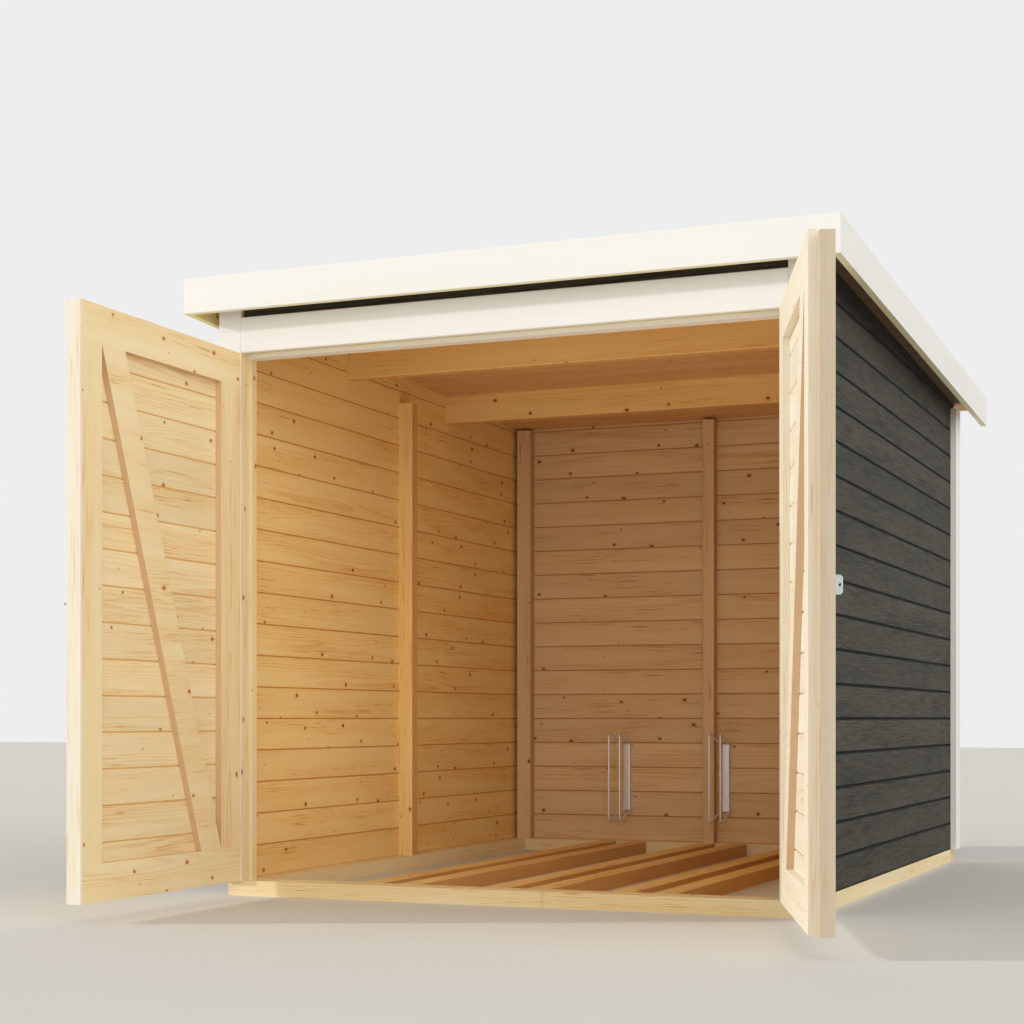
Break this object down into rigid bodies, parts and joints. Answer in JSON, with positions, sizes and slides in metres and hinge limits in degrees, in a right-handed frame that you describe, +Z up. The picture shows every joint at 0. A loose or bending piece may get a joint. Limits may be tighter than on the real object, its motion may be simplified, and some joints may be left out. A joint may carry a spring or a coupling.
{
  "type": "bike shelter",
  "caption": "Small lean-to timber bike shelter with boarded walls, a framed double door, wheel rails and wire wheel holders.",
  "frame": {"origin": "middle of the front sill's underside, on the ground", "axes": "+X to the right seen from the front, +Y to the back, +Z up"},
  "size_m": [2.1418, 3.2361, 1.8297],
  "materials": {
    "spruce": "planed, bare",
    "grey_stain": "dark grey stain outside, bare inside",
    "white_paint": "warm white paint",
    "felt": "mineral roofing felt",
    "zinc": "galvanised",
    "bright_wire": "bright zinc"
  },
  "bodies": {
    "shed": {"corner_trim_back_left": "white_paint", "corner_trim_back_right": "white_paint", "corner_trim_front_left": "white_paint", "corner_trim_front_right": "white_paint", "door_head": "white_paint", "fascia_front": "white_paint", "fascia_left": "white_paint", "fascia_right": "white_paint", "front_panel": "grey_stain", "header_board": "white_paint", "hinge_pintles_left": "zinc", "hinge_pintles_right": "zinc", "jamb_left": "spruce", "jamb_right": "spruce", "purlin_back": "spruce", "purlin_front": "spruce", "roof_deck": "spruce", "roof_felt": "felt", "sill_back": "spruce", "sill_front": "spruce", "sill_left": "spruce", "sill_right": "spruce", "stud_back_left": "spruce", "stud_back_middle": "spruce", "stud_back_right": "spruce", "stud_side_left": "spruce", "stud_side_right": "spruce", "wall_back": "grey_stain", "wall_left": "grey_stain", "wall_right": "grey_stain", "wheel_holder_left": "bright_wire", "wheel_holder_middle": "bright_wire", "wheel_holder_right": "bright_wire", "wheel_rail_left_left": "spruce", "wheel_rail_left_right": "spruce", "wheel_rail_middle_left": "spruce", "wheel_rail_middle_right": "spruce", "wheel_rail_right_left": "spruce", "wheel_rail_right_right": "spruce"},
    "door_left": {"left_leaf_boards": "spruce", "left_leaf_brace": "spruce", "left_leaf_edge": "spruce", "left_leaf_rail_bottom": "spruce", "left_leaf_rail_top": "spruce", "left_leaf_stile_free": "spruce", "left_leaf_stile_hinge": "spruce", "left_lock_stud": "zinc", "left_strap_hinges": "zinc"},
    "door_right": {"right_leaf_boards": "spruce", "right_leaf_brace": "spruce", "right_leaf_edge": "spruce", "right_leaf_rail_bottom": "spruce", "right_leaf_rail_top": "spruce", "right_leaf_stile_free": "spruce", "right_leaf_stile_hinge": "spruce", "right_lock_plate": "zinc", "right_meeting_batten": "spruce", "right_strap_hinges": "zinc"}
  },
  "joints": [
    {"name": "door_left_hinge", "type": "hinge", "parent": "shed", "child": "door_left", "pos_m": [-0.851, -0.07006, 0], "axis": [0, 0, 1], "range_deg": [-45, 90]},
    {"name": "door_right_hinge", "type": "hinge", "parent": "shed", "child": "door_right", "pos_m": [0.851, -0.07006, 0], "axis": [0, 0, 1], "range_deg": [-109, 26]}
  ]
}
